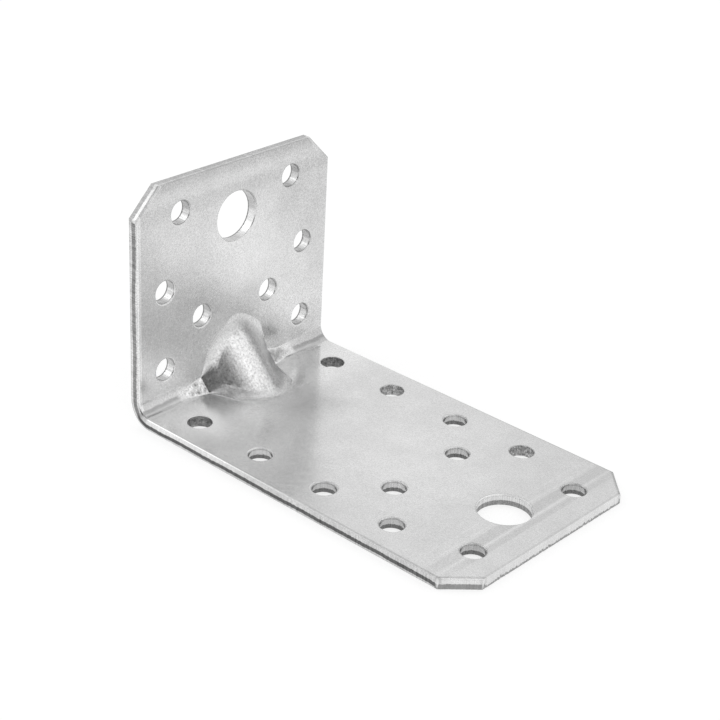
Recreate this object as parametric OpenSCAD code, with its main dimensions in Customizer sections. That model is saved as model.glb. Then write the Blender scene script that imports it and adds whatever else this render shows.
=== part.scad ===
// Reinforced angle bracket: one punched steel sheet, folded to a right angle and stiffened by a
// rib that is pressed into its heel, so the rib stands up inside the fold and leaves a pocket behind.
// Millimetres. X runs along the lying leg, Z up the standing leg, and Y across the fold.
// The origin is the centre of the footprint, on the underside.

/* [Sheet] */
// Thickness of the sheet
sheet = 2.5; // [1.5:0.1:3.5]
// Width of both legs, along the fold
width = 55; // [48:1:120]
// Length of the lying leg, from the outer face of the standing leg
long_leg = 90; // [86:1:200]
// Height of the standing leg, from the underside
short_leg = 52; // [50:1:120]
// Inside radius of the fold
fold_radius = 3; // [2:0.5:5]
// Length of each 45 degree corner cut, along the leg's edges
corner_cut = 5.9; // [2:0.1:7]

/* [Sheared edges] */
// Rounding of the side edges and corner cuts on the faces inside the fold, drawn down by the shear
edge_roll = 0.6; // [0.1:0.05:0.8]
// Rounding of the legs' end edges on the same faces
end_roll = 0.2; // [0.1:0.05:0.8]
// Rounding of the outline on the outer faces
edge_break = 0.25; // [0.1:0.05:0.4]
// Rounding of each hole's rim on the faces inside the fold
rim_roll = 0.4; // [0.1:0.05:0.6]

/* [Nail holes] */
// Diameter of a nail hole
nail_hole = 5; // [3:0.1:5.5]
// Centre distance of the two holes in a row
row_gap = 40; // [36:0.5:42]
// Distance from a leg's end to its nearest row
row_inset = 23.6; // [22:0.1:25]
// Distance from one row to the next
row_pitch = 17.8; // [15:0.1:18.5]
// Number of rows in the long leg
long_rows = 4; // [1:1:4]
// Number of rows in the short leg
short_rows = 2; // [1:1:2]
// Centre distance of the inner pair of holes
inner_gap = 19.4; // [18:0.1:24]
// Distance from a leg's end to the inner pair
inner_inset = 32.2; // [30:0.1:33]
// Centre distance of the pair beside the leg's end
end_gap = 31.5; // [28:0.5:33]
// Distance from a leg's end to the pair beside it
end_inset = 7.2; // [6:0.1:9]

/* [Bolt holes] */
// Diameter of the bolt hole in each leg
bolt_hole = 11; // [6:0.5:13]
// Distance from a leg's end to its bolt hole
bolt_inset = 12.2; // [10:0.1:14]

/* [Rib] */
// Distance from the heel's outer planes to the point where the ridge meets a leg's inner face
rib_reach = 15.2; // [12:0.5:16]
// Slope that the rib's flanks come to, away from the plane that spans the corner
flank_angle = 50; // [42:1:56]
// Radius of the pocket under the ridge
ridge_radius = 2.2; // [1:0.1:4]
// Length of the fold over both ears, the flat facets beside the rib
ear_span = 34; // [26:1:38]
// Slope of the ears towards the rib
ear_angle = 6; // [3:0.5:8]
// Height over which the ridge's two tips blend into the legs
tip_blend = 2; // [0.5:0.1:3]
// Height over which the flanks' feet blend into the legs
foot_blend = 5; // [1:0.1:6]
// Share of an ear's rise over which its edges blend
ear_blend = 0.3; // [0.1:0.05:0.6]

/* [Hidden] */
$fn = 96;

// Outside radius of the fold
heel_radius = fold_radius + sheet;
// Room that cutting shapes and half planes run past the sheet
beyond = long_leg + short_leg + width;
cut_over = 1;

// The rib is drawn in a frame turned by 45 degrees: u runs along the ridge from the standing leg
// to the lying one, y across, and h rises from the heel's outer corner towards the ridge.
// Height of the inner corner line, where the legs' inner faces would meet
corner_h = sheet * sqrt(2);
// Height of the fold's axis, and of the fold's inner surface under it
axis_h = heel_radius * sqrt(2);
fold_h = axis_h - fold_radius;
// Height of the ridge, and the half axis that gives its hyperbola the crest's radius
ridge_h = (rib_reach + sheet) / sqrt(2);
flank_slope = tan(flank_angle);
crest_axis = (ridge_radius + sheet) * flank_slope * flank_slope;
// Outer end of an ear, and its root, where the flank crosses it
ear_end_y = ear_span / 2;
ear_slope = tan(ear_angle);
root_drop = ridge_h + crest_axis - fold_h - ear_slope * ear_end_y;
root_rate = flank_slope * flank_slope - ear_slope * ear_slope;
ear_root_y = (root_drop * ear_slope + sqrt(root_drop * root_drop * ear_slope * ear_slope
    + root_rate * (root_drop * root_drop - crest_axis * crest_axis))) / root_rate;
// Rate at which the blend at the foot grows with the distance from the ear, and its least height
foot_growth = 1.1;
sharp_blend = 0.01;
// Depth of the rib's skin below the legs' own faces, which keeps the two from lying in one plane
skin_sink = 0.05;
// Steps of the skin across the ridge: down a flank and along an ear
flank_steps = 18;
ear_steps = 5;
// Steps of the skin along the ridge, on each side: up to the blend, through it and past the fold
ridge_steps = 3;
blend_steps = 10;
fold_steps = 2;
// Least rise for which the foot is looked for, and the plain stretch past the blend and the fold
least_rise = 0.1;
plain_stretch = 0.2;
// Ends of the skin, past all blends
skin_end_u = ridge_h + foot_blend - corner_h + cut_over;
skin_end_y = ear_end_y + cut_over;
// Distance over which the skin's slope is read
reading = 0.01;

// Half plane of sheet that ends at x = reach, with the two roundings of a sheared edge
module sheared_section(reach, roll) {
    difference() {
        translate([reach - beyond, 0])
            square([beyond, sheet]);
        difference() {
            translate([reach - roll, sheet - roll])
                square(roll + cut_over);
            translate([reach - roll, sheet - roll])
                circle(roll);
        }
        difference() {
            translate([reach - edge_break, -cut_over])
                square([edge_break + cut_over, edge_break + cut_over]);
            translate([reach - edge_break, edge_break])
                circle(edge_break);
        }
    }
}

// The same half plane as a slab, turned so that its edge faces the given direction
module sheared_slab(direction, reach, roll) {
    rotate([0, 0, direction])
        rotate([90, 0, 0])
            linear_extrude(height = 2 * beyond, center = true)
                sheared_section(reach, roll);
}

// Hole through a leg, punched from the inner face, which is at z = sheet
module punched_hole(diameter) {
    radius = diameter / 2;
    translate([0, 0, -cut_over])
        cylinder(r = radius, h = sheet + 2 * cut_over);
    rotate_extrude()
        difference() {
            translate([radius - cut_over, sheet - rim_roll])
                square([rim_roll + cut_over, rim_roll + cut_over]);
            translate([radius + rim_roll, sheet - rim_roll])
                circle(rim_roll);
        }
}

module pair(gap, x, diameter) {
    for (side = [-1, 1])
        translate([x, side * gap / 2, 0])
            punched_hole(diameter);
}

// Both legs share one punching pattern, counted back from the leg's end
module leg_holes(reach, rows) {
    pair(end_gap, reach - end_inset, nail_hole);
    pair(inner_gap, reach - inner_inset, nail_hole);
    for (row = [0 : rows - 1])
        pair(row_gap, reach - row_inset - row * row_pitch, nail_hole);
    translate([reach - bolt_inset, 0, 0])
        punched_hole(bolt_hole);
}

// Flat part of a leg, lying on z = 0 from the fold to x = reach
module leg(reach) {
    corner_reach = (reach + width / 2 - corner_cut) / sqrt(2);
    intersection() {
        sheared_slab(0, reach, end_roll);
        sheared_slab(90, width / 2, edge_roll);
        sheared_slab(-90, width / 2, edge_roll);
        sheared_slab(45, corner_reach, edge_roll);
        sheared_slab(-45, corner_reach, edge_roll);
        translate([heel_radius, -beyond, -beyond])
            cube(2 * beyond);
    }
}

// What is drawn for the lying leg, swung up to the standing one
module stood_up() {
    mirror([1, 0, -1])
        children();
}

// Quarter turn of sheet that joins the legs
module fold() {
    translate([heel_radius, 0, heel_radius])
        rotate([90, 180, 0])
            rotate_extrude(angle = 90)
                intersection() {
                    translate([heel_radius, 0])
                        rotate([0, 0, 90])
                            sheared_section(width / 2, edge_roll);
                    translate([heel_radius, 0])
                        mirror([0, 1])
                            rotate([0, 0, 90])
                                sheared_section(width / 2, edge_roll);
                }
}

// Larger of two heights, with a smooth passage where they differ by less than the blend
function blended(a, b, blend) =
    let (near = max(blend - abs(a - b), 0) / blend)
    max(a, b) + near * near * blend / 4;

// Height of the bracket's plain inner surface over the heel's outer corner
function plain_h(u) = abs(u) < fold_radius * sin(45)
    ? axis_h - sqrt(fold_radius * fold_radius - u * u)
    : corner_h + abs(u);

// Place on the ridge's line at which that surface has a height
function plain_u(h) = h < axis_h - fold_radius * cos(45)
    ? sqrt(fold_radius * fold_radius - (axis_h - h) * (axis_h - h))
    : h - corner_h;

// Section of the rib across its ridge: a hyperbola with a round crest and, beside it, the ears
function ridge_section(y) = ridge_h + crest_axis - norm([crest_axis, flank_slope * y]);
function ear_section(y) = fold_h + (ear_end_y - abs(y)) * ear_slope;
function rib_section(y) = max(ridge_section(y), ear_section(y));

// The foot is sharp along the ears, softest beside the flanks and firmer again at the ridge's tips
function flank_share(y) = min(1, abs(y) / ear_root_y);
function foot_soft(y) = max(sharp_blend, min(
    tip_blend + (foot_blend - tip_blend) * flank_share(y) * flank_share(y),
    ear_blend * (rib_section(y) - fold_h) + foot_growth * max(0, ear_root_y - abs(y))));
function skin_h(u, y) = blended(plain_h(u), rib_section(y), foot_soft(y)) - skin_sink;

// Point of the skin, and the point one sheet thickness behind it, square to the skin
function skin_point(u, y) = [u, y, skin_h(u, y)];
function back_point(u, y) =
    let (du = (skin_h(u + reading, y) - skin_h(u - reading, y)) / (2 * reading))
    let (dy = (skin_h(u, y + reading) - skin_h(u, y - reading)) / (2 * reading))
    skin_point(u, y) - (sheet + skin_sink) * [-du, -dy, 1] / norm([du, dy, 1]);

// Stations of the skin across the ridge
function steps(from, to, count) = [for (i = [0 : count - 1]) from + (to - from) * i / count];
half_stations = concat(steps(0, ear_root_y, flank_steps), steps(ear_root_y, ear_end_y, ear_steps),
    [ear_end_y, skin_end_y]);
half_count = len(half_stations);
stations_y = concat([for (i = [half_count - 1 : -1 : 1]) -half_stations[i]], half_stations);

// Stations along the ridge, which follow the foot so that the facets run with it, not across it
function along_ridge(y) =
    let (foot = plain_u(max(rib_section(y), fold_h + least_rise)))
    let (blend_start = max(foot / 4, foot - foot_soft(y)))
    let (blend_end = foot + foot_soft(y))
    let (plain_start = max(blend_end, fold_radius * sin(45)) + plain_stretch)
    let (half = concat(steps(blend_start, blend_end, blend_steps),
        steps(blend_end, plain_start, fold_steps), [plain_start, skin_end_u]))
    concat([for (i = [len(half) - 1 : -1 : 0]) -half[i]],
        [for (i = [1 : 2 * ridge_steps - 1]) blend_start * (i / ridge_steps - 1)], half);

stations_u = [for (y = stations_y) along_ridge(y)];
column_count = len(stations_y);
row_count = len(stations_u[0]);

// From the rib's frame to the bracket's
function in_bracket(p) = [(p[2] + p[0]) / sqrt(2), p[1], (p[2] - p[0]) / sqrt(2)];

// Solid between a lofted skin, given row by row along the ridge, and two rows of points under it
module lofted(rows, left, right) {
    n = len(rows[0]);
    m = len(rows);
    points = [
        for (row = rows) each row,
        for (p = left) p,
        for (p = right) p
    ];
    left_start = n * m;
    right_start = n * m + m;
    faces = [
        for (i = [0 : m - 2], j = [0 : n - 2]) each [
            [i * n + j, i * n + j + 1, (i + 1) * n + j + 1],
            [i * n + j, (i + 1) * n + j + 1, (i + 1) * n + j]
        ],
        for (i = [0 : m - 2]) each [
            [left_start + i, i * n, (i + 1) * n],
            [left_start + i, (i + 1) * n, left_start + i + 1],
            [right_start + i, (i + 2) * n - 1, (i + 1) * n - 1],
            [right_start + i, right_start + i + 1, (i + 2) * n - 1],
            [left_start + i, left_start + i + 1, right_start + i + 1],
            [left_start + i, right_start + i + 1, right_start + i]
        ],
        for (j = [0 : n - 2]) each [
            [left_start, j + 1, j],
            [left_start + m - 1, (m - 1) * n + j, (m - 1) * n + j + 1]
        ],
        [left_start, right_start, n - 1],
        [left_start + m - 1, n * m - 1, right_start + m - 1]
    ];
    polyhedron(points = [for (p = points) in_bracket(p)], faces = faces);
}

// Pressed-up metal, from the middle of the plain sheet to the rib's skin
module rib_metal() {
    lofted(
        [for (i = [0 : row_count - 1]) [for (j = [0 : column_count - 1])
            skin_point(stations_u[j][i], stations_y[j])]],
        [for (u = stations_u[0]) [u, -skin_end_y, corner_h / 2 + abs(u)]],
        [for (u = stations_u[0]) [u, skin_end_y, corner_h / 2 + abs(u)]]
    );
}

// Hollow behind the rib, one sheet thickness under its skin, open at the heel
module rib_pocket() {
    back_rows = [for (i = [0 : row_count - 1]) [for (j = [0 : column_count - 1])
        back_point(stations_u[j][i], stations_y[j])]];
    last = column_count - 1;
    lofted(
        back_rows,
        [for (row = back_rows) [row[0][0], row[0][1], -heel_radius]],
        [for (row = back_rows) [row[last][0], row[last][1], -heel_radius]]
    );
}

module angle_bracket() {
    color("gainsboro")
        translate([-long_leg / 2, 0, 0])
            difference() {
                union() {
                    leg(long_leg);
                    stood_up()
                        leg(short_leg);
                    fold();
                    rib_metal();
                }
                rib_pocket();
                leg_holes(long_leg, long_rows);
                stood_up()
                    leg_holes(short_leg, short_rows);
            }
}

angle_bracket();
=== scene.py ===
"""Reinforced angle bracket: galvanised sheet steel with sheared edges, on a plain pale floor."""

import math
from types import SimpleNamespace

import bpy
from mathutils import Matrix, Vector


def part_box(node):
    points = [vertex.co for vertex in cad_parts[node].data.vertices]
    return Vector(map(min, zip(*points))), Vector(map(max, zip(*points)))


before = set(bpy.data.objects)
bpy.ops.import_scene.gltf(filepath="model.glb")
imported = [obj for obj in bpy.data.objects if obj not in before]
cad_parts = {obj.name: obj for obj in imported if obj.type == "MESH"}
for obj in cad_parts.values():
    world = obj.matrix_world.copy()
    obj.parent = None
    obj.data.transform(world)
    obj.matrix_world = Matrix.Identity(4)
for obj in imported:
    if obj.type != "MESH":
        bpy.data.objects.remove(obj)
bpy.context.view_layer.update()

MM = 0.001
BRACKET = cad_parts["angle_bracket"]
LOW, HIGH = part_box("angle_bracket")


def mm(*sizes):
    """Sizes given in millimetres, in metres."""
    return tuple(size * MM for size in sizes)


# Sizes of the folded sheet that the material's zones follow
LONG_LEG, WIDTH, SHORT_LEG = HIGH - LOW
SHEET = 2.5 * MM
FOLD_RADIUS = 3.0 * MM
HEEL_RADIUS = SHEET + FOLD_RADIUS
RIB_SPAN = 34.4 * MM
RIB_REACH = 16.8 * MM
RIB_MARGIN = 0.1 * MM
CORNER_CUT = 5.9 * MM
BOLT_INSET = 12.2 * MM

# Below, two lengths say where a passage starts and ends, and four where a stripe starts, is full,
# fades and stops. A CHANGE is added to the tone, a FACTOR or SHARE multiplies, and a pair of them
# belongs to the two ends of a passage

# Passage from one leg to the other, and from the near half of the width to the far one
CROSSING = mm(-1, 1)

# How far each kind of edge reaches in from the outline, or out from the middle of a hole
SIDE_ZONE = mm(0.7, 0.9)
END_ZONE = mm(0.5, 0.7)
CUT_ZONE = mm(0.5, 0.6)
BOLT_ZONE = mm(7.0, 7.2)
NAIL_ZONE = mm(3.3, 3.5)

# Bands over the sheet's outer face
WALL = mm(0.04, 0.08, 2.38, 2.44)
INNER_HALF = (SHEET / 2, SHEET * 0.6)
SOFT_RIM = mm(1.9, 2.1, 2.46, 2.495)
BRIGHT_RIM = mm(2.05, 2.2)
SIDE_FOOT = mm(0.45, 0.60)
ROLLED_HEIGHT = mm(1.4, 1.6)

# The standing leg's top edge: its fine lines, a light one past the middle and dull metal beyond it
TOP_FINE_CHANGE = 0.22
TOP_LIGHT = mm(1.35, 1.65, 1.85, 2.1)
TOP_LIGHT_CHANGE = 0.12
TOP_DULL = mm(2.0, 2.2)
TOP_DULL_CHANGE = (0.0, -0.04)

# Sheared walls by kind of edge, each value as a pair for the lying and the standing leg: where the
# torn band lies over the outer face, how ragged it is, and the tones of it and of the burnished part
EDGES = {
    "nail": {"torn_from": mm(0.05, -0.1), "torn_to": mm(0.95, 0.35), "ragged": mm(0.5, 0.3),
             "torn_tone": (0.24, 0.32), "burnished_tone": (0.82, 0.95)},
    "bolt": {"torn_from": mm(-0.1, -0.1), "torn_to": mm(1.1, 0.35), "ragged": mm(0.15, 0.3),
             "torn_tone": (0.36, 0.32), "burnished_tone": (1.05, 1.0)},
    "side": {"torn_from": mm(0.58, 0.85), "torn_to": mm(1.42, 1.95), "ragged": mm(0.35, 0.35),
             "torn_tone": (0.16, 0.33), "burnished_tone": (1.0, 1.02)},
    "end": {"torn_from": mm(0.12, 0.1), "torn_to": mm(0.70, 3.0), "ragged": mm(1.5, 0.25),
            "torn_tone": (0.38, 0.54), "burnished_tone": (1.10, 1.05)},
    "cut": {"torn_from": mm(0.15, -0.1), "torn_to": mm(1.3, 1.25), "ragged": mm(0.3, 0.2),
            "torn_tone": (0.36, 0.57), "burnished_tone": (1.12, 1.10)},
}
TORN_START = mm(-0.08, 0.08)
TORN_STOP = mm(-0.1, 0.1)
JAGGED_SHARE = 0.5
SIDE_DRIFT = 0.7 * MM

# Speckle of the torn metal, from its jagged and its streaky grain, calmer on end edges and cuts
JAGGED_SPECKLE = 1.2
STREAK_SPECKLE = 1.6
SPECKLE_END_SHARE = 0.5

# Burnished metal: its streaks, weaker on end edges and cuts, a painted sheen in the standing leg's
# holes, lighter where the wall faces up and to the near side and darker elsewhere, painted light on
# the rims, its feet, and painted highlights on the corner lines
STREAKS = 0.9
END_STREAKS = 0.4
SHEEN_DIRECTION = (0, -0.8, 0.6)
SHEEN_FACING = (0.72, 0.98)
PAINTED_SHEEN_FACTOR = (0.72, 1.12)
RIM_PAINTED_LIGHT_FACTOR = 1.4
SIDE_FOOT_FACTOR = 0.86
CORNER_HIGHLIGHT_CHANGE = 0.06

# Nail holes of the lying leg that are torn right through, lighter away from the fold
TORN_HOLES = [mm(-32.0, -20.0, 0), mm(-32.0, 20.0, 0), mm(-14.2, 20.0, 0), mm(21.4, 20.0, 0)]
TORN_HOLE_PLACE = mm(14, 30)
TORN_HOLE_FACTOR = (3.0, 4.8)
TORN_HOLE_MEAN = 0.4

# Painted highlights in lines where a corner cut meets the side edge and the end edge, and how low they start
SIDE_CORNER = mm(-0.2, 0.0, 0.1, 0.3)
END_CORNER = mm(-0.3, -0.1, 0.0, 0.2)
LYING_CORNER_START = mm(0.3, 0.8)
LYING_CORNER_SHARE = (0.3, 0.85)
STANDING_CORNER_START = mm(0.9, 1.3)

# Rolled side edges of the lying leg: painted highlight near the fold and painted shade away from it, with a
# painted dark reflection in a line
ROLLED_SIDE = mm(0.25, 0.55)
ROLLED_PLACE = mm(26, 42)
ROLLED_PAINTED_LIGHT = (0.05, -0.07)
ROLL_LINE = mm(0.10, 0.25, 0.50, 0.70)
ROLL_LINE_PLACE = mm(25, 50)
ROLL_LINE_DARK_REFLECTION = (0.0, -0.12)

# Sizes of the grain of the zinc, of its scouring and of the sheared walls
UNEVEN = 14 * MM
CLOUD = 7 * MM
PATCH = 1.3 * MM
GRAIN = 0.30 * MM
SCOUR = 0.55 * MM
HAMMERED = 0.9 * MM
STREAK = 0.20 * MM
RAGGED = 0.7 * MM
JAGGED = 0.3 * MM
MOTTLE = 0.6 * MM
FINE_LINE = 0.25 * MM

# Plain tone of the zinc, and how much its clouds, patches and grain change it, the grain by leg
ZINC_TONE = 0.662
CLOUD_CHANGE = 0.16
PATCH_CHANGE = 0.08
GRAIN_CHANGE = (0.34, 0.60)
DARKEST = 0.02
LIGHTEST = 0.95

# Large soft spots, the zinc's uneven tone and painted reflections: place, radius and change of tone
SPOT_CORE = 0.2
SOFT_SPOTS = [
    (mm(-42.5, 20, 40), 16 * MM, -0.05),
    (mm(-42.5, -20, 34), 14 * MM, 0.075),
    (mm(-42.5, 24, 7), 9 * MM, -0.09),
    (mm(-42.5, 1, 31), 17 * MM, 0.105),
    (mm(-42.5, 14, 29), 11 * MM, 0.03),
    (mm(-42.5, 3, 19), 7 * MM, -0.085),
    (mm(-42.5, 16, 22), 10 * MM, 0.03),
    (mm(-42.5, -8, 24), 9 * MM, -0.04),
    (mm(-33, -22, 2.5), 11 * MM, 0.07),
    (mm(-28, -15, 2.5), 12 * MM, 0.18),
    (mm(-23, 3, 2.5), 11 * MM, -0.12),
    (mm(-21, -24, 2.5), 11 * MM, 0.05),
    (mm(-10, -14, 2.5), 12 * MM, 0.055),
    (mm(8, 2, 2.5), 26 * MM, 0.04),
]

# Marks of the press, each with its change of tone: across the lying leg by distance from its end
# and across the standing leg by distance from its top; painted shade in thin lines along the lying
# leg's end and its corner cuts, and painted shade fading down from the standing leg's top
LYING_MARKS = [
    (mm(4.4, 5.0, 5.9, 6.4), -0.075),
    (mm(6.4, 6.6, 6.7, 6.9), 0.05),
    (mm(6.9, 7.3, 9.2, 9.9), -0.085),
    (mm(10.1, 10.4, 10.5, 10.8), 0.04),
    (mm(12.2, 12.4, 12.5, 12.7), 0.03),
]
LYING_MARKS_FADE = mm(15, 26)
LYING_MARKS_SHARE = (1.0, 0.55)
LYING_END_SHADE_LINE = [(mm(0.0, 0.1, 0.3, 0.6), -0.07)]
LYING_CUT_SHADE_LINE = [(mm(0.2, 0.45, 0.8, 1.3), -0.10)]
STANDING_MARK = [(mm(3.6, 5.4, 6.4, 8.8), -0.06)]
STANDING_TOP = mm(0.0, 3.2)
STANDING_TOP_SHADE = (-0.15, 0.0)

# Painted highlights at the corners of the cuts near the standing leg's top, and in a strip along its near
# side edge
LIGHT_CUT = mm(0.0, 0.2, 0.5, 1.1)
LIGHT_CUT_PLACE = mm(1.5, 3.5)
CUT_HIGHLIGHT_CHANGE = (0.15, 0.0)
NEAR_EDGE_HIGHLIGHT = mm(0.1, 0.3, 0.9, 1.05)
NEAR_EDGE_HIGHLIGHT_CHANGE = (0.17, 0.0)

# The fold, by the turn round it in radians: painted reflections as two darker bands with the
# darkest line between them
FOLD_PAINTED_REFLECTIONS = [((0.05, 0.20, 0.6, 0.8), -0.14),
              ((0.62, 0.78, 0.88, 1.08), -0.46),
              ((0.9, 1.05, 1.25, 1.40), -0.22)]
FOLD_WANDER = 0.5
BESIDE_RIB = mm(16.4, 17.8)
# Painted light next to the fold, fading out between these lengths
NEAR_FOLD = mm(12, 24)
NEAR_FOLD_PAINTED_LIGHT = (1.10, 1.0)

# Zones of the rib, by the rise over the sheet's inner face and by the place across it, with painted
# shade on the far flank, the tip and the near foot and a painted highlight on the crest
RAISED = mm(0.05, 0.5)
SCOUR_RISE = mm(0.1, 1.4)
SCOUR_SHARE = (0.3, 1.0)
SCOUR_CHANGE = 1.15
FAR_FLANK = mm(-0.7, 1.0)
FAR_FLANK_PLACE = mm(0.5, 3.5)
FAR_FLANK_SHADE_FACTOR = (0.82, 0.72)
TIP_RISE = mm(0.0, 0.3, 1.2, 3.0)
TIP_HEIGHT = mm(11.5, 14.5)
TIP_SHADE_FACTOR = 0.87
CREST_PLACE = mm(-6.0, -4.5, 0.0, 1.5)
CREST_RISE = mm(0.8, 2.2)
CREST_HIGHLIGHT_FACTOR = 1.09
FOOT_RISE = mm(0.0, 0.08, 1.8, 3.4)
FOOT_PLACE = mm(-10.0, -8.5, -5.6, -3.8)
FOOT_FACTOR = 0.80

# Ears beside the rib, hammered, and less so on the far side
EAR_PLACE = mm(9.5, 10, 15.5, 17)
EAR_RISE = mm(0.02, 0.15)
EAR_SHARE = (1.0, 0.5)
EAR_CHANGE = -0.06
HAMMERED_CHANGE = 1.7
# Painted shade on the far ear
FAR_EAR = mm(8, 9)
FAR_EAR_SHADE_FACTOR = 0.88

# Roughness of the zinc on both legs, on the rib and on torn or rolled metal
LYING_ROUGHNESS = (0.17, 0.25)
LYING_ROUGHNESS_PLACE = mm(30, 55)
STANDING_ROUGHNESS = 0.25
RIB_ROUGHNESS = 0.31
PATCH_ROUGHNESS = 0.16
TORN_ROUGHNESS = 0.6

# Relief that the bump shows, as shares of its depth
BUMP_DEPTH = 0.02 * MM
BUMP_STRENGTH = 0.5
GRAIN_RELIEF = 0.8
PATCH_RELIEF = 0.6
SCOUR_RELIEF = 2.0
TORN_RELIEF = 2.0

# Camera at the photograph's viewing angle, found from the hole centres
AZIMUTH = math.radians(41.164)
ELEVATION = math.radians(27.290)
ROLL = math.radians(3.074)
DISTANCE = 352.7 * MM
LENS = 87.6
SENSOR = 36
CLIP_START = 0.01
CLIP_END = 50
TARGET = Vector((-5.0, 0.0, 20.0)) * MM
SLIDE_RIGHT = -1.025 * MM
SLIDE_UP = 0.348 * MM

# Levels of the studio: the world and the floor as light, and the floor's own glow as it is seen
WORLD_LIGHT = 0.75
WORLD_SEEN = 1.0
FLOOR_LIGHT = 0.45
FLOOR_GLOW = 0.68
FLOOR_REACH = 3.0
CARD_CORNERS = 64
CARD_RIM = 0.98


def towards(azimuth, elevation):
    """Unit vector that leaves the bracket at an azimuth from -Y and an elevation."""
    flat = math.cos(elevation)
    return Vector((math.sin(azimuth) * flat, -math.cos(azimuth) * flat, math.sin(elevation)))


def make_camera():
    data = bpy.data.cameras.new("camera")
    data.lens = LENS
    data.sensor_width = SENSOR
    data.clip_start = CLIP_START
    data.clip_end = CLIP_END
    camera = bpy.data.objects.new("camera", data)
    bpy.context.scene.collection.objects.link(camera)
    back = towards(AZIMUTH, ELEVATION)
    level = Vector((math.cos(AZIMUTH), math.sin(AZIMUTH), 0))
    upright = back.cross(level)
    right = math.cos(ROLL) * level + math.sin(ROLL) * upright
    up = math.cos(ROLL) * upright - math.sin(ROLL) * level
    place = Matrix((right, up, back)).transposed().to_4x4()
    place.translation = TARGET + back * DISTANCE + right * SLIDE_RIGHT + up * SLIDE_UP
    camera.matrix_world = place
    bpy.context.scene.camera = camera


class Nodes:
    """Short calls that add nodes to a tree and link them."""

    def __init__(self, tree):
        self.tree = tree

    def add(self, kind, **values):
        node = self.tree.nodes.new(kind)
        for name, value in values.items():
            setattr(node, name, value)
        return node

    def feed(self, socket, value):
        if isinstance(value, bpy.types.NodeSocket):
            self.tree.links.new(value, socket)
        else:
            socket.default_value = value

    def math(self, operation, *values):
        node = self.add("ShaderNodeMath", operation=operation)
        for socket, value in zip(node.inputs, values):
            self.feed(socket, value)
        return node.outputs[0]

    def chain(self, operation, values):
        """The operation on the first two values, then on its result and each further value."""
        result = values[0]
        for value in values[1:]:
            result = self.math(operation, result, value)
        return result

    def plus(self, *values):
        return self.chain("ADD", values)

    def minus(self, value, less):
        return self.math("SUBTRACT", value, less)

    def times(self, *values):
        return self.chain("MULTIPLY", values)

    def largest(self, *values):
        return self.chain("MAXIMUM", values)

    def smallest(self, *values):
        return self.chain("MINIMUM", values)

    def outside(self, mask):
        return self.minus(1.0, mask)

    def step(self, value, limits, levels=(0.0, 1.0)):
        """Smooth passage from the first level to the second while value goes between the limits."""
        node = self.add("ShaderNodeMapRange", interpolation_type="SMOOTHSTEP")
        for socket, number in zip(node.inputs, (value, *limits, *levels)):
            self.feed(socket, number)
        return node.outputs[0]

    def fall(self, value, limits):
        return self.step(value, limits, (1.0, 0.0))

    def stripe(self, value, limits):
        """Mask that starts, is full, fades and stops at the four limits."""
        return self.times(self.step(value, limits[:2]), self.fall(value, limits[2:]))

    def marks(self, value, stripes):
        """Sum of stripes, each with its change of tone."""
        return self.plus(*(self.times(self.stripe(value, limits), change) for limits, change in stripes))

    def blend(self, share, a, b):
        node = self.add("ShaderNodeMix", data_type="FLOAT")
        self.feed(node.inputs[0], share)
        self.feed(node.inputs[2], a)
        self.feed(node.inputs[3], b)
        return node.outputs[0]

    def shade(self, mask, factor):
        """1 outside the mask and the factor in it."""
        return self.blend(mask, 1.0, factor)

    def mix(self, share, a, b):
        node = self.add("ShaderNodeMix", data_type="RGBA")
        self.feed(node.inputs[0], share)
        self.feed(node.inputs[6], a)
        self.feed(node.inputs[7], b)
        return node.outputs[2]

    def noise(self, place, size, detail=2.0, roughness=0.5, stretch=(1, 1, 1)):
        """Noise around 0, from -0.5 to 0.5, of about the given size of grain."""
        mapping = self.add("ShaderNodeMapping")
        self.feed(mapping.inputs["Vector"], place)
        mapping.inputs["Scale"].default_value = [along / size for along in stretch]
        node = self.add("ShaderNodeTexNoise")
        self.feed(node.inputs["Vector"], mapping.outputs[0])
        node.inputs["Scale"].default_value = 1.0
        node.inputs["Detail"].default_value = detail
        node.inputs["Roughness"].default_value = roughness
        return self.minus(node.outputs["Fac"], 0.5)

    def vector(self, *parts):
        node = self.add("ShaderNodeCombineXYZ")
        for socket, part in zip(node.inputs, parts):
            self.feed(socket, part)
        return node.outputs[0]

    def distance(self, vector, point):
        node = self.add("ShaderNodeVectorMath", operation="DISTANCE")
        self.feed(node.inputs[0], vector)
        node.inputs[1].default_value = point
        return node.outputs["Value"]


def grey(level):
    return (level, level, level, 1)


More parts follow.
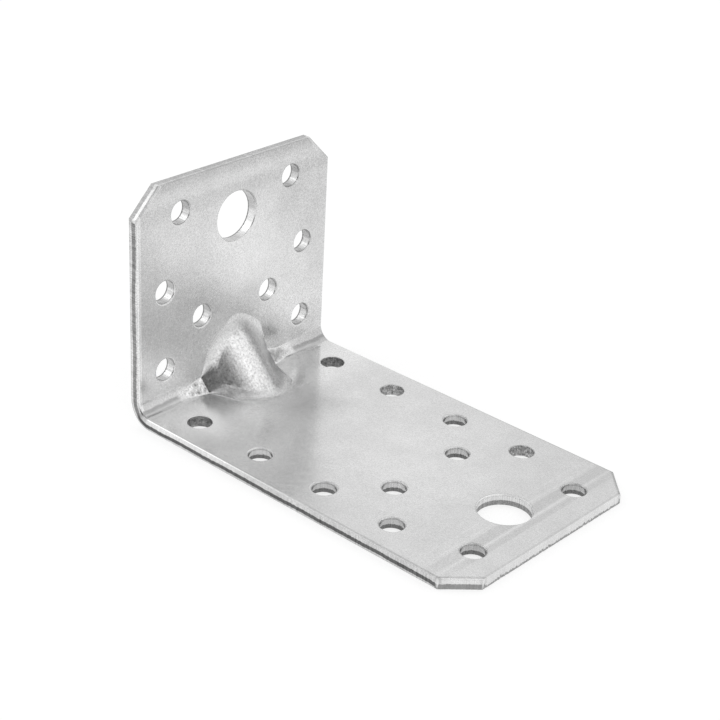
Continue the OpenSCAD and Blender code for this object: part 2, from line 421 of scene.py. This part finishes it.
def sheet_coordinates(n, place):
    """Where a point lies in the folded sheet, as lengths and as masks."""
    axes = n.add("ShaderNodeSeparateXYZ")
    n.feed(axes.inputs[0], place)
    x = n.minus(axes.outputs[0], LOW.x)
    y = axes.outputs[1]
    z = axes.outputs[2]
    side = n.math("ABSOLUTE", y)

    # Depth in the sheet, from 0 on the outer face to SHEET on the inner one, also round the fold
    over_x = n.largest(n.minus(HEEL_RADIUS, x), 0.0)
    over_z = n.largest(n.minus(HEEL_RADIUS, z), 0.0)
    squares = n.plus(n.times(over_x, over_x), n.times(over_z, over_z))
    depth = n.minus(HEEL_RADIUS, n.math("SQRT", squares))

    # Place along the sheet, the same on both its faces and right through it
    along_x = n.largest(n.minus(x, HEEL_RADIUS), 0.0)
    along_z = n.largest(n.minus(z, HEEL_RADIUS), 0.0)

    # Turn round the fold, from 0 on the standing leg to a quarter circle on the lying one
    turn = n.math("ARCTAN2", over_z, over_x)

    # The rib and its pocket lie off the plain sheet
    off_side = n.step(side, (RIB_SPAN / 2, RIB_SPAN / 2 + RIB_MARGIN))
    off_reach = n.step(n.largest(x, z), (RIB_REACH, RIB_REACH + RIB_MARGIN))
    plain_sheet = n.largest(off_side, off_reach)

    to_lying_end = n.minus(LONG_LEG, x)
    to_top = n.minus(SHORT_LEG, z)
    standing = n.step(n.minus(z, x), CROSSING)
    return SimpleNamespace(
        x=x, y=y, z=z, side=side, depth=depth, turn=turn,
        along=n.vector(along_x, y, along_z),
        rise=n.minus(depth, SHEET),
        plain=plain_sheet, on_rib=n.outside(plain_sheet),
        standing=standing, lying=n.outside(standing),
        to_side=n.minus(WIDTH / 2, side),
        to_lying_end=to_lying_end, to_top=to_top, to_end=n.smallest(to_lying_end, to_top))


def by_leg(n, sheet, lying, standing):
    return n.blend(sheet.standing, lying, standing)


def to_cut(n, sheet, to_end):
    """Distance from the corner cuts, counted along the leg or across it."""
    return n.minus(n.plus(to_end, sheet.to_side), CORNER_CUT)


def edge_masks(n, sheet):
    """Masks of the bolt holes, the side edges, the end edges and the corner cuts."""
    lying_bolt = n.distance(sheet.along, (LONG_LEG - BOLT_INSET - HEEL_RADIUS, 0, 0))
    standing_bolt = n.distance(sheet.along, (0, 0, SHORT_LEG - BOLT_INSET - HEEL_RADIUS))
    return {"bolt": n.fall(n.smallest(lying_bolt, standing_bolt), BOLT_ZONE),
            "side": n.fall(sheet.to_side, SIDE_ZONE),
            "end": n.fall(sheet.to_end, END_ZONE),
            "cut": n.fall(to_cut(n, sheet, sheet.to_end), CUT_ZONE)}


def by_edge(n, sheet, masks, name):
    """The named value of EDGES for the leg and the kind of edge."""
    value = by_leg(n, sheet, *EDGES["nail"][name])
    for kind, mask in masks.items():
        value = n.blend(mask, value, by_leg(n, sheet, *EDGES[kind][name]))
    return value


def torn_hole_walls(n, sheet):
    """Mask of the walls of the nail holes that are torn right through."""
    flat = n.vector(n.plus(sheet.x, LOW.x), sheet.y, 0.0)
    holes = [n.fall(n.distance(flat, hole), NAIL_ZONE) for hole in TORN_HOLES]
    return n.times(n.largest(*holes), sheet.lying)


def corner_highlight_lines(n, sheet, masks):
    """Mask of the painted highlight lines where a corner cut meets the side edge and the end edge."""
    on_side = n.times(n.stripe(n.minus(sheet.to_end, CORNER_CUT), SIDE_CORNER), masks["side"])
    on_end = n.times(n.stripe(n.minus(CORNER_CUT, sheet.to_side), END_CORNER), masks["end"])
    start = by_leg(n, sheet, n.step(sheet.depth, LYING_CORNER_START, LYING_CORNER_SHARE),
                   n.step(sheet.depth, STANDING_CORNER_START))
    return n.times(n.largest(on_side, on_end), start)


def torn_band(n, sheet, masks, jagged, torn_through):
    """Mask of the torn band between its two ragged limits."""
    ragged = n.plus(n.noise(sheet.along, RAGGED, detail=3, roughness=0.65), n.times(jagged, JAGGED_SHARE))
    shift = n.times(ragged, by_edge(n, sheet, masks, "ragged"))
    drift = n.times(n.noise(sheet.along, UNEVEN, detail=1), masks["side"], SIDE_DRIFT)
    level = n.plus(sheet.depth, shift, drift)
    over_start = n.minus(level, by_edge(n, sheet, masks, "torn_from"))
    over_stop = n.minus(level, by_edge(n, sheet, masks, "torn_to"))
    over_stop = n.minus(over_stop, n.times(torn_through, SHEET))
    return n.times(n.step(over_start, TORN_START), n.fall(over_stop, TORN_STOP))


def top_edge_lines(n, place, sheet, masks):
    """Fine lines along the standing leg's top edge, a light one past its middle and dull beyond it."""
    fine = n.times(n.noise(place, FINE_LINE, detail=1, stretch=(1, 0.03, 1)), TOP_FINE_CHANGE)
    light = n.times(n.stripe(sheet.depth, TOP_LIGHT), TOP_LIGHT_CHANGE)
    dull = n.step(sheet.depth, TOP_DULL, TOP_DULL_CHANGE)
    return n.times(n.plus(fine, light, dull), masks["end"], sheet.standing)


def torn_tone(n, place, sheet, masks, jagged, streak, torn_through):
    """Tone of the torn band: speckled, lined on the top edge and mottled in the torn holes."""
    tone = n.plus(by_edge(n, sheet, masks, "torn_tone"), top_edge_lines(n, place, sheet, masks))
    speckle = n.plus(n.times(jagged, JAGGED_SPECKLE), n.times(streak, STREAK_SPECKLE))
    speckle = n.times(speckle, n.shade(n.largest(masks["end"], masks["cut"]), SPECKLE_END_SHARE))
    mottle = n.plus(n.noise(place, MOTTLE, roughness=0.6), TORN_HOLE_MEAN)
    mottle = n.times(mottle, n.step(sheet.x, TORN_HOLE_PLACE, TORN_HOLE_FACTOR))
    return n.times(tone, n.plus(speckle, 1.0), n.shade(torn_through, mottle))


def burnished_tone(n, sheet, masks, streak, holes, corners):
    """Tone of the smooth part of the walls, as a factor on the zinc's, with painted sheen in the standing
    leg's holes, painted light on the rims and painted highlights on the corner lines.
    """
    streaky = n.blend(n.largest(masks["end"], masks["cut"]), STREAKS, END_STREAKS)
    tone = n.plus(by_edge(n, sheet, masks, "burnished_tone"), n.times(streak, streaky))

    facing = n.add("ShaderNodeVectorMath", operation="DOT_PRODUCT")
    n.feed(facing.inputs[0], n.add("ShaderNodeTexCoord").outputs["Normal"])
    facing.inputs[1].default_value = SHEEN_DIRECTION
    painted_sheen = n.step(facing.outputs["Value"], SHEEN_FACING, PAINTED_SHEEN_FACTOR)

    rim = n.times(holes, n.step(sheet.depth, BRIGHT_RIM))
    foot = n.times(n.fall(sheet.depth, SIDE_FOOT), masks["side"])
    tone = n.times(tone, n.shade(n.times(holes, sheet.standing), painted_sheen),
                   n.shade(rim, RIM_PAINTED_LIGHT_FACTOR), n.shade(foot, SIDE_FOOT_FACTOR))
    return n.plus(tone, n.times(corners, CORNER_HIGHLIGHT_CHANGE))


def rolled_side_light_and_shade(n, sheet):
    """Painted highlight on the lying leg's rolled side edges near the fold, turning to painted shade away
    from it.
    """
    rolled = n.times(n.fall(sheet.to_side, ROLLED_SIDE), n.step(sheet.depth, ROLLED_HEIGHT), sheet.lying)
    return n.times(rolled, n.step(sheet.x, ROLLED_PLACE, ROLLED_PAINTED_LIGHT))


def sheared_walls(n, place, sheet):
    """Masks and tones of the sheared walls: the torn band and the burnished part around it, with its painted
    sheen, light and shade.
    """
    masks = edge_masks(n, sheet)
    outline = n.largest(masks["side"], masks["end"], masks["cut"])
    holes = n.times(n.outside(outline), sheet.plain)
    wall = n.times(n.stripe(sheet.depth, WALL), sheet.plain)
    streak = n.noise(sheet.along, STREAK, roughness=0.6)
    jagged = n.noise(place, JAGGED)
    torn_through = torn_hole_walls(n, sheet)
    corners = corner_highlight_lines(n, sheet, masks)
    torn = n.times(torn_band(n, sheet, masks, jagged, torn_through), wall, n.outside(corners))
    burnish_and_sheen = burnished_tone(n, sheet, masks, streak, holes, corners)
    return SimpleNamespace(
        wall=wall, streak=streak, torn=torn,
        torn_tone=torn_tone(n, place, sheet, masks, jagged, streak, torn_through),
        burnish_and_sheen=n.plus(n.shade(wall, burnish_and_sheen), rolled_side_light_and_shade(n, sheet)),
        soft_rim=n.times(n.stripe(sheet.depth, SOFT_RIM), by_leg(n, sheet, holes, masks["cut"])))


def lying_marks_and_painted_shade(n, sheet):
    """Bands and fine lines that the press left near the end of the lying leg, with painted shade in thin
    lines along its end and its corner cuts.
    """
    across = n.times(n.marks(sheet.to_lying_end, LYING_MARKS),
                     n.step(sheet.side, LYING_MARKS_FADE, LYING_MARKS_SHARE))
    cut_line = n.marks(to_cut(n, sheet, sheet.to_lying_end), LYING_CUT_SHADE_LINE)
    return n.plus(across, n.marks(sheet.to_lying_end, LYING_END_SHADE_LINE), cut_line)


def standing_marks_and_painted_light(n, sheet):
    """A dull band near the top of the standing leg, painted shade along its top, and painted highlights at
    its corners and along its near side edge.
    """
    band = n.marks(sheet.to_top, STANDING_MARK)
    top = n.step(sheet.to_top, STANDING_TOP, STANDING_TOP_SHADE)
    corner = n.times(n.stripe(to_cut(n, sheet, sheet.to_top), LIGHT_CUT),
                     n.step(sheet.to_top, LIGHT_CUT_PLACE, CUT_HIGHLIGHT_CHANGE))
    near_highlight = n.times(n.stripe(sheet.to_side, NEAR_EDGE_HIGHLIGHT), n.step(sheet.depth, INNER_HALF),
                       n.step(sheet.y, CROSSING, NEAR_EDGE_HIGHLIGHT_CHANGE))
    return n.times(n.plus(band, top, corner, near_highlight), sheet.standing)


def dark_roll_reflection(n, sheet):
    """Painted dark reflection in a line where the lying leg's side edges roll over."""
    line = n.times(n.stripe(sheet.to_side, ROLL_LINE), sheet.lying)
    return n.times(line, n.step(sheet.x, ROLL_LINE_PLACE, ROLL_LINE_DARK_REFLECTION))


def fold_shade(n, sheet, cloudy):
    """Factor for the inner side of the fold beside the rib: painted reflections as darker bands and the
    darkest line between them.
    """
    turn = n.plus(sheet.turn, n.times(cloudy, FOLD_WANDER))
    marks = n.times(n.marks(turn, FOLD_PAINTED_REFLECTIONS), n.step(sheet.depth, INNER_HALF),
                    n.step(sheet.side, BESIDE_RIB))
    return n.plus(marks, 1.0)


def rib_painted_light(n, sheet, raised):
    """Factor for the rib: painted shade on its far flank, its softened tip and its near foot, and a painted
    highlight on its crest.
    """
    far_flank = n.times(n.step(sheet.y, FAR_FLANK), raised)
    tip = n.times(n.stripe(sheet.rise, TIP_RISE), n.step(sheet.z, TIP_HEIGHT), sheet.on_rib)
    crest = n.times(n.stripe(sheet.y, CREST_PLACE), n.step(sheet.rise, CREST_RISE), sheet.on_rib)
    foot = n.times(n.stripe(sheet.rise, FOOT_RISE), n.stripe(sheet.y, FOOT_PLACE), sheet.on_rib, sheet.lying)
    return n.times(n.shade(far_flank, n.step(sheet.y, FAR_FLANK_PLACE, FAR_FLANK_SHADE_FACTOR)),
                   n.shade(tip, TIP_SHADE_FACTOR), n.shade(crest, CREST_HIGHLIGHT_FACTOR), n.shade(foot, FOOT_FACTOR))


def hammered_ears(n, place, sheet):
    """Change of tone on the ears beside the rib, half as strong on the far one."""
    ear = n.times(n.stripe(sheet.side, EAR_PLACE), n.step(sheet.rise, EAR_RISE), sheet.on_rib,
                  n.step(sheet.y, CROSSING, EAR_SHARE))
    hammered = n.times(n.noise(place, HAMMERED, roughness=0.6), HAMMERED_CHANGE)
    return n.times(n.plus(hammered, EAR_CHANGE), ear)


def zinc_coat_and_painted_light(n, place, sheet):
    """The zinc's tone with all its marks and its painted light and shade, and the parts of it that also
    change the roughness and bump.
    """
    cloudy = n.noise(place, CLOUD, detail=3, roughness=0.6)
    patchy = n.noise(place, PATCH, detail=3, roughness=0.6)
    grain = n.noise(place, GRAIN, roughness=0.7)
    grain_change = n.times(by_leg(n, sheet, *GRAIN_CHANGE), n.plus(n.noise(place, UNEVEN, detail=1), 1.0))
    # Soft spots: the zinc's uneven tone together with painted reflections
    spots = [n.step(n.distance(place, centre), (SPOT_CORE * radius, radius), (change, 0.0))
             for centre, radius, change in SOFT_SPOTS]
    tone = n.plus(n.times(cloudy, CLOUD_CHANGE), n.times(patchy, PATCH_CHANGE), n.times(grain, grain_change),
                  lying_marks_and_painted_shade(n, sheet), standing_marks_and_painted_light(n, sheet), dark_roll_reflection(n, sheet),
                  ZINC_TONE, *spots)

    # Painted light on the metal next to the fold, painted reflections in the fold, and the rib scoured
    painted_light_near_fold = n.step(n.largest(sheet.x, sheet.z), NEAR_FOLD, NEAR_FOLD_PAINTED_LIGHT)
    tone = n.times(tone, painted_light_near_fold, fold_shade(n, sheet, cloudy))
    raised = n.times(n.step(sheet.rise, RAISED), sheet.on_rib)
    scour = n.times(n.noise(place, SCOUR, detail=3, roughness=0.7),
                    n.step(sheet.rise, SCOUR_RISE, SCOUR_SHARE), sheet.on_rib)
    tone = n.plus(tone, n.times(scour, SCOUR_CHANGE))
    # Painted shade and a painted highlight on the rib
    tone = n.times(tone, rib_painted_light(n, sheet, raised))
    tone = n.plus(tone, hammered_ears(n, place, sheet))
    # Painted shade on the rib's far ear
    far_ear = n.times(n.step(sheet.y, FAR_EAR), raised)
    tone = n.times(tone, n.shade(far_ear, FAR_EAR_SHADE_FACTOR))
    return SimpleNamespace(tone=tone, patchy=patchy, grain=grain, scour=scour, raised=raised)


def steel_tone(n, zinc, walls):
    tone = n.blend(walls.torn, n.times(zinc.tone, walls.burnish_and_sheen), walls.torn_tone)
    tone = n.smallest(n.largest(tone, DARKEST), LIGHTEST)
    colour = n.add("ShaderNodeCombineColor")
    for channel in range(3):
        n.feed(colour.inputs[channel], tone)
    return colour.outputs[0]


def steel_roughness(n, sheet, zinc, walls):
    lying = n.step(sheet.x, LYING_ROUGHNESS_PLACE, LYING_ROUGHNESS)
    smooth = by_leg(n, sheet, lying, STANDING_ROUGHNESS)
    rough = n.plus(n.times(zinc.patchy, PATCH_ROUGHNESS), n.blend(zinc.raised, smooth, RIB_ROUGHNESS))
    return n.blend(n.largest(walls.torn, walls.soft_rim), rough, TORN_ROUGHNESS)


def steel_bump(n, zinc, walls):
    """Slight relief of the grain, the patches, the scouring and the sheared walls."""
    torn = n.times(n.plus(zinc.grain, 0.5), walls.torn, TORN_RELIEF)
    height = n.plus(n.times(zinc.grain, GRAIN_RELIEF), n.times(zinc.patchy, PATCH_RELIEF),
                    n.times(zinc.scour, SCOUR_RELIEF), n.times(walls.streak, walls.wall), torn)
    bump = n.add("ShaderNodeBump")
    bump.inputs["Strength"].default_value = BUMP_STRENGTH
    bump.inputs["Distance"].default_value = BUMP_DEPTH
    n.feed(bump.inputs["Height"], height)
    return bump.outputs[0]


def galvanised_steel():
    material = bpy.data.materials.new("galvanised_steel")
    material.use_nodes = True
    n = Nodes(material.node_tree)
    shader = material.node_tree.nodes["Principled BSDF"]
    shader.inputs["Metallic"].default_value = 1.0
    place = n.add("ShaderNodeTexCoord").outputs["Object"]
    sheet = sheet_coordinates(n, place)
    zinc = zinc_coat_and_painted_light(n, place, sheet)
    walls = sheared_walls(n, place, sheet)
    n.feed(shader.inputs["Base Color"], steel_tone(n, zinc, walls))
    n.feed(shader.inputs["Roughness"], steel_roughness(n, sheet, zinc, walls))
    n.feed(shader.inputs["Normal"], steel_bump(n, zinc, walls))
    return material


def dress_bracket():
    BRACKET.data.materials.clear()
    BRACKET.data.materials.append(galvanised_steel())


def seen_directly(n):
    """1 for camera, glossy and transmission rays, 0 for the rays that light the scene."""
    path = n.add("ShaderNodeLightPath")
    kinds = ("Is Camera Ray", "Is Glossy Ray", "Is Transmission Ray")
    return n.largest(*(path.outputs[kind] for kind in kinds))


def make_world():
    world = bpy.data.worlds.new("studio")
    bpy.context.scene.world = world
    world.use_nodes = True
    n = Nodes(world.node_tree)
    background = world.node_tree.nodes["Background"]
    n.feed(background.inputs["Color"], n.mix(seen_directly(n), grey(WORLD_LIGHT), grey(WORLD_SEEN)))
    background.inputs["Strength"].default_value = 1.0


def bare_material(name):
    """New material without a shader, and the calls that fill its tree."""
    material = bpy.data.materials.new(name)
    material.use_nodes = True
    tree = material.node_tree
    tree.nodes.remove(tree.nodes["Principled BSDF"])
    return material, Nodes(tree)


def make_floor():
    mesh = bpy.data.meshes.new("floor")
    corners = [(x * FLOOR_REACH, y * FLOOR_REACH, 0) for x, y in ((-1, -1), (1, -1), (1, 1), (-1, 1))]
    mesh.from_pydata(corners, [], [(0, 1, 2, 3)])
    floor = bpy.data.objects.new("floor", mesh)
    bpy.context.scene.collection.objects.link(floor)
    material, n = bare_material("pale_floor")
    matt = n.add("ShaderNodeBsdfDiffuse")
    matt.inputs["Color"].default_value = grey(FLOOR_LIGHT)
    glow = n.add("ShaderNodeEmission")
    n.feed(glow.inputs["Strength"], n.times(seen_directly(n), FLOOR_GLOW))
    both = n.add("ShaderNodeAddShader")
    n.feed(both.inputs[0], matt.outputs[0])
    n.feed(both.inputs[1], glow.outputs[0])
    n.feed(n.tree.nodes["Material Output"].inputs["Surface"], both.outputs[0])
    mesh.materials.append(material)


def make_softbox(name, direction, distance, size, power):
    data = bpy.data.lights.new(name, "AREA")
    data.shape = "DISK"
    data.size = size
    data.energy = power
    lamp = bpy.data.objects.new(name, data)
    bpy.context.scene.collection.objects.link(lamp)
    direction = Vector(direction)
    lamp.location = TARGET + direction.normalized() * distance
    lamp.rotation_euler = direction.to_track_quat("Z", "Y").to_euler()


def make_card(name, direction, distance, inner, radius, level):
    """Round card that only the metal's reflections see, of its level inside and white at its rim."""
    direction = Vector(direction).normalized()
    side = direction.orthogonal().normalized()
    other = direction.cross(side)
    centre = TARGET + direction * distance
    turns = [2 * math.pi * corner / CARD_CORNERS for corner in range(CARD_CORNERS)]
    ring = [centre + radius * (math.cos(turn) * side + math.sin(turn) * other) for turn in turns]
    mesh = bpy.data.meshes.new(name)
    mesh.from_pydata(ring, [], [tuple(range(CARD_CORNERS))])
    card = bpy.data.objects.new(name, mesh)
    bpy.context.scene.collection.objects.link(card)
    material, n = bare_material(name)
    from_centre = n.distance(n.add("ShaderNodeTexCoord").outputs["Object"], centre)
    glow = n.add("ShaderNodeEmission")
    n.feed(glow.inputs["Strength"], n.step(from_centre, (inner, radius * CARD_RIM), (level, 1.0)))
    n.feed(n.tree.nodes["Material Output"].inputs["Surface"], glow.outputs[0])
    mesh.materials.append(material)
    card.visible_camera = False
    card.visible_diffuse = False
    card.visible_shadow = False
    card.visible_transmission = False


def make_studio():
    make_world()
    make_floor()
    make_softbox("overhead_softbox", (0.61, -0.24, 0.755), distance=0.60, size=0.25, power=0.045)
    make_softbox("rear_softbox", (-0.70, -0.40, 0.61), distance=0.60, size=0.32, power=0.12)
    make_card("dark_card", (0.34, -0.84, 0.43), distance=0.40, inner=0.090, radius=0.228, level=0.0)
    make_card("high_card", (-0.05, -0.30, 0.95), distance=0.45, inner=0.10, radius=0.22, level=0.35)
    make_card("far_card", (-0.10, 0.98, 0.10), distance=0.45, inner=0.08, radius=0.30, level=0.55)
    bpy.context.scene.view_settings.view_transform = "Standard"


make_camera()
dress_bracket()
make_studio()
